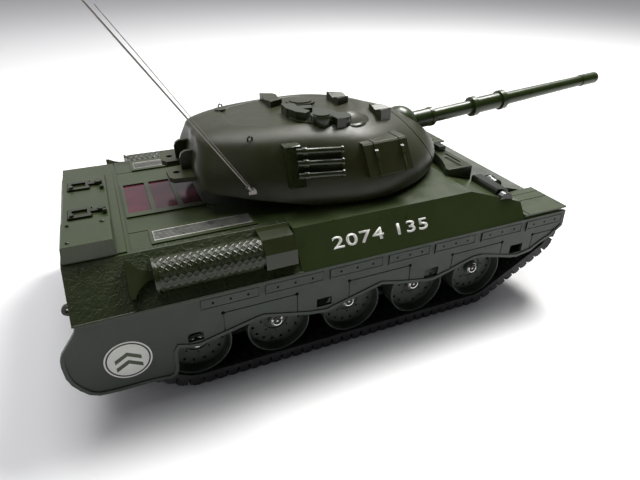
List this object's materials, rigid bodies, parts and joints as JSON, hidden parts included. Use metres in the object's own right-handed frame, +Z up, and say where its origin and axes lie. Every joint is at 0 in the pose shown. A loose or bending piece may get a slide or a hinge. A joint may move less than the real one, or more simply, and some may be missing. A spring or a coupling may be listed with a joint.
{
  "type": "rc tank",
  "caption": "Toy battle tank for radio control: turning turret with elevating gun, rubber tracks on spinning road wheels, side skirts, engine deck and whip antenna.",
  "frame": {"origin": "ground level under the middle of the overall length (rear of the skirts to the muzzle), on the centre line", "axes": "+X forward along the gun, +Y to the vehicle's left, +Z up"},
  "size_m": [0.4116, 0.17, 0.2322],
  "materials": {
    "hull_green": "satin moulded olive green",
    "turret_green": "satin moulded olive green",
    "detail_green": "satin olive green trim",
    "gun_green": "glossy green",
    "skirt_green": "matt grey-green",
    "chassis_dark": "matt dark green",
    "wheel_green": "matt dark green",
    "track_black": "matt black",
    "window_maroon": "smoked translucent",
    "louvre_silver": "bright silver",
    "bright_cup": "bright",
    "axle_steel": "drawn",
    "screw_steel": "zinc plated",
    "spring_steel": "drawn wire",
    "gear_white": "natural acetal",
    "motor_can": "plated can",
    "frame_black": "matt black",
    "cell_jacket": "printed jacket",
    "contact_metal": "nickel plated",
    "board_green": "resin board",
    "switch_black": "matt black"
  },
  "bodies": {
    "hull": {"axle_cups": "bright_cup", "battery_cells": "cell_jacket", "battery_contacts": "contact_metal", "chassis_screws": "screw_steel", "deck_window": "window_maroon", "drive_motor_left": "motor_can", "drive_motor_right": "motor_can", "driver_hatch": "detail_green", "gearbox_frame": "frame_black", "gun_travel_lock": "detail_green", "headlight_guards": "detail_green", "louvre_left": "louvre_silver", "louvre_right": "louvre_silver", "lower_hull": "chassis_dark", "muffler_left": "detail_green", "muffler_right": "detail_green", "rear_deck_cover": "hull_green", "receiver_board": "board_green", "skirt_left": "skirt_green", "skirt_right": "skirt_green", "stub_axles": "axle_steel", "switch_body": "switch_black", "tow_hooks": "detail_green", "track_left": "track_black", "track_right": "track_black", "upper_hull": "hull_green"},
    "turret": {"turret_shell": "turret_green", "turret_floor": "turret_green", "turret_retainer": "frame_black", "smoke_launcher_right": "detail_green", "smoke_launcher_left": "detail_green", "stowage_box_right": "detail_green", "stowage_box_left": "detail_green", "commander_cupola": "detail_green", "roof_sights": "detail_green", "antenna": "spring_steel"},
    "gun": {"gun_mantlet": "gun_green", "gun_barrel": "gun_green", "fume_extractor": "gun_green"},
    "battery_lid": {"battery_cover": "chassis_dark"},
    "switch_knob": {"power_switch": "switch_black"},
    "drive_right": {"sprocket_right": "wheel_green", "drive_gear_right": "gear_white"},
    "motor_pinion_right": {"pinion_right": "gear_white"},
    "idler_right": {"idler_wheel_right": "wheel_green"},
    "wheel_right_1": {"road_wheel_right_1": "wheel_green"},
    "wheel_right_2": {"road_wheel_right_2": "wheel_green"},
    "wheel_right_3": {"road_wheel_right_3": "wheel_green"},
    "wheel_right_4": {"road_wheel_right_4": "wheel_green"},
    "wheel_right_5": {"road_wheel_right_5": "wheel_green"},
    "drive_left": {"sprocket_left": "wheel_green", "drive_gear_left": "gear_white"},
    "motor_pinion_left": {"pinion_left": "gear_white"},
    "idler_left": {"idler_wheel_left": "wheel_green"},
    "wheel_left_1": {"road_wheel_left_1": "wheel_green"},
    "wheel_left_2": {"road_wheel_left_2": "wheel_green"},
    "wheel_left_3": {"road_wheel_left_3": "wheel_green"},
    "wheel_left_4": {"road_wheel_left_4": "wheel_green"},
    "wheel_left_5": {"road_wheel_left_5": "wheel_green"}
  },
  "joints": [
    {"name": "turret_yaw", "type": "hinge", "parent": "hull", "child": "turret", "pos_m": [-0.03441, 0, 0.0836], "axis": [0, 0, 1], "continuous": true},
    {"name": "gun_elevation", "type": "hinge", "parent": "turret", "child": "gun", "pos_m": [0.02459, 0, 0.1056], "axis": [0, -1, 0], "range_deg": [-5, 10]},
    {"name": "battery_lid_lift", "type": "slide", "parent": "hull", "child": "battery_lid", "axis": [0, 0, -1], "range_m": [0, 0.01]},
    {"name": "power_switch_slide", "type": "slide", "parent": "hull", "child": "switch_knob", "axis": [1, 0, 0], "range_m": [0, 0.0044]},
    {"name": "drive_right_spin", "type": "hinge", "parent": "hull", "child": "drive_right", "pos_m": [-0.18241, -0.066, 0.0423], "axis": [0, 1, 0], "continuous": true},
    {"name": "pinion_right_spin", "type": "hinge", "parent": "hull", "child": "motor_pinion_right", "pos_m": [-0.17172, -0.04, 0.0438], "axis": [0, 1, 0], "continuous": true},
    {"name": "idler_right_spin", "type": "hinge", "parent": "hull", "child": "idler_right", "pos_m": [0.09019, -0.067, 0.0423], "axis": [0, 1, 0], "continuous": true},
    {"name": "wheel_right_1_spin", "type": "hinge", "parent": "hull", "child": "wheel_right_1", "pos_m": [-0.14111, -0.068, 0.0262], "axis": [0, 1, 0], "continuous": true},
    {"name": "wheel_right_2_spin", "type": "hinge", "parent": "hull", "child": "wheel_right_2", "pos_m": [-0.09491, -0.068, 0.0262], "axis": [0, 1, 0], "continuous": true},
    {"name": "wheel_right_3_spin", "type": "hinge", "parent": "hull", "child": "wheel_right_3", "pos_m": [-0.04871, -0.068, 0.0262], "axis": [0, 1, 0], "continuous": true},
    {"name": "wheel_right_4_spin", "type": "hinge", "parent": "hull", "child": "wheel_right_4", "pos_m": [-0.00251, -0.068, 0.0262], "axis": [0, 1, 0], "continuous": true},
    {"name": "wheel_right_5_spin", "type": "hinge", "parent": "hull", "child": "wheel_right_5", "pos_m": [0.04369, -0.068, 0.0262], "axis": [0, 1, 0], "continuous": true},
    {"name": "drive_left_spin", "type": "hinge", "parent": "hull", "child": "drive_left", "pos_m": [-0.18241, 0.066, 0.0423], "axis": [0, 1, 0], "continuous": true},
    {"name": "pinion_left_spin", "type": "hinge", "parent": "hull", "child": "motor_pinion_left", "pos_m": [-0.17172, 0.04, 0.0438], "axis": [0, 1, 0], "continuous": true},
    {"name": "idler_left_spin", "type": "hinge", "parent": "hull", "child": "idler_left", "pos_m": [0.09019, 0.067, 0.0423], "axis": [0, 1, 0], "continuous": true},
    {"name": "wheel_left_1_spin", "type": "hinge", "parent": "hull", "child": "wheel_left_1", "pos_m": [-0.14111, 0.068, 0.0262], "axis": [0, 1, 0], "continuous": true},
    {"name": "wheel_left_2_spin", "type": "hinge", "parent": "hull", "child": "wheel_left_2", "pos_m": [-0.09491, 0.068, 0.0262], "axis": [0, 1, 0], "continuous": true},
    {"name": "wheel_left_3_spin", "type": "hinge", "parent": "hull", "child": "wheel_left_3", "pos_m": [-0.04871, 0.068, 0.0262], "axis": [0, 1, 0], "continuous": true},
    {"name": "wheel_left_4_spin", "type": "hinge", "parent": "hull", "child": "wheel_left_4", "pos_m": [-0.00251, 0.068, 0.0262], "axis": [0, 1, 0], "continuous": true},
    {"name": "wheel_left_5_spin", "type": "hinge", "parent": "hull", "child": "wheel_left_5", "pos_m": [0.04369, 0.068, 0.0262], "axis": [0, 1, 0], "continuous": true}
  ],
  "couplings": [
    {"joint": "pinion_right_spin", "follows": "drive_right_spin", "ratio": -2.6},
    {"joint": "idler_right_spin", "follows": "drive_right_spin", "ratio": 1},
    {"joint": "wheel_right_1_spin", "follows": "drive_right_spin", "ratio": 0.50538},
    {"joint": "wheel_right_2_spin", "follows": "drive_right_spin", "ratio": 0.50538},
    {"joint": "wheel_right_3_spin", "follows": "drive_right_spin", "ratio": 0.50538},
    {"joint": "wheel_right_4_spin", "follows": "drive_right_spin", "ratio": 0.50538},
    {"joint": "wheel_right_5_spin", "follows": "drive_right_spin", "ratio": 0.50538},
    {"joint": "pinion_left_spin", "follows": "drive_left_spin", "ratio": -2.6},
    {"joint": "idler_left_spin", "follows": "drive_left_spin", "ratio": 1},
    {"joint": "wheel_left_1_spin", "follows": "drive_left_spin", "ratio": 0.50538},
    {"joint": "wheel_left_2_spin", "follows": "drive_left_spin", "ratio": 0.50538},
    {"joint": "wheel_left_3_spin", "follows": "drive_left_spin", "ratio": 0.50538},
    {"joint": "wheel_left_4_spin", "follows": "drive_left_spin", "ratio": 0.50538},
    {"joint": "wheel_left_5_spin", "follows": "drive_left_spin", "ratio": 0.50538}
  ]
}
